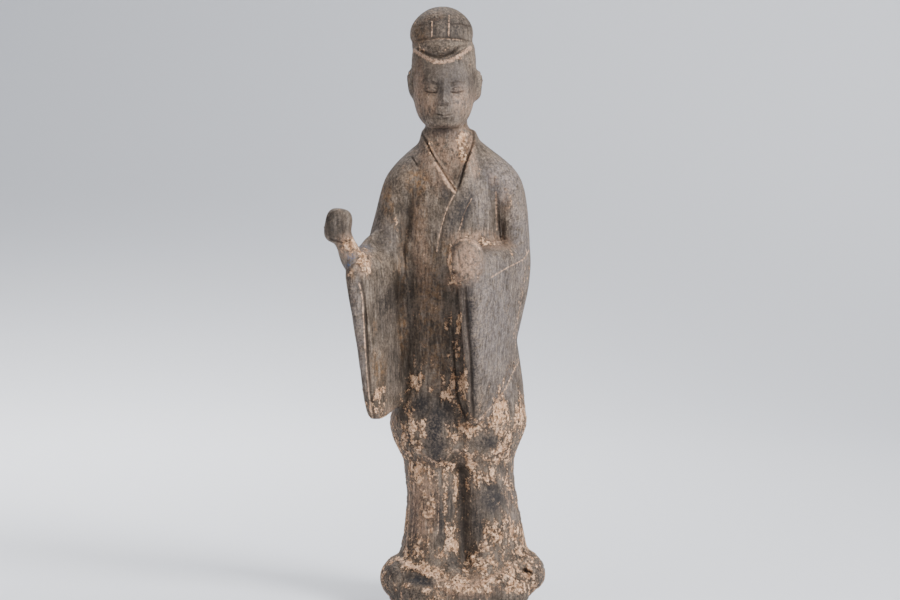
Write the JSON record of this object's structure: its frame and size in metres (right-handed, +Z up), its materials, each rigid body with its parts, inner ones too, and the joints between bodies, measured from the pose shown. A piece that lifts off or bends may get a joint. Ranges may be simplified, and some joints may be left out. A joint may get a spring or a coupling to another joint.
{
  "type": "pottery female figurine",
  "caption": "Standing woman in grey fired pottery with a high bun, a cross-collared jacket with wide hanging sleeves, raised closed hands and a long skirt on a lobed hem.",
  "frame": {"origin": "on the flat underside, at the floor, under the middle of the skirt", "axes": "+Z up through the head, -Y the way the figure faces, +X towards its left side, the viewer's right"},
  "size_m": [0.1203, 0.0824, 0.33],
  "materials": {
    "fired_clay": "matt dark grey unglazed pottery with buff earth crust"
  },
  "bodies": {
    "root": {"figurine": "fired_clay"}
  },
  "joints": []
}
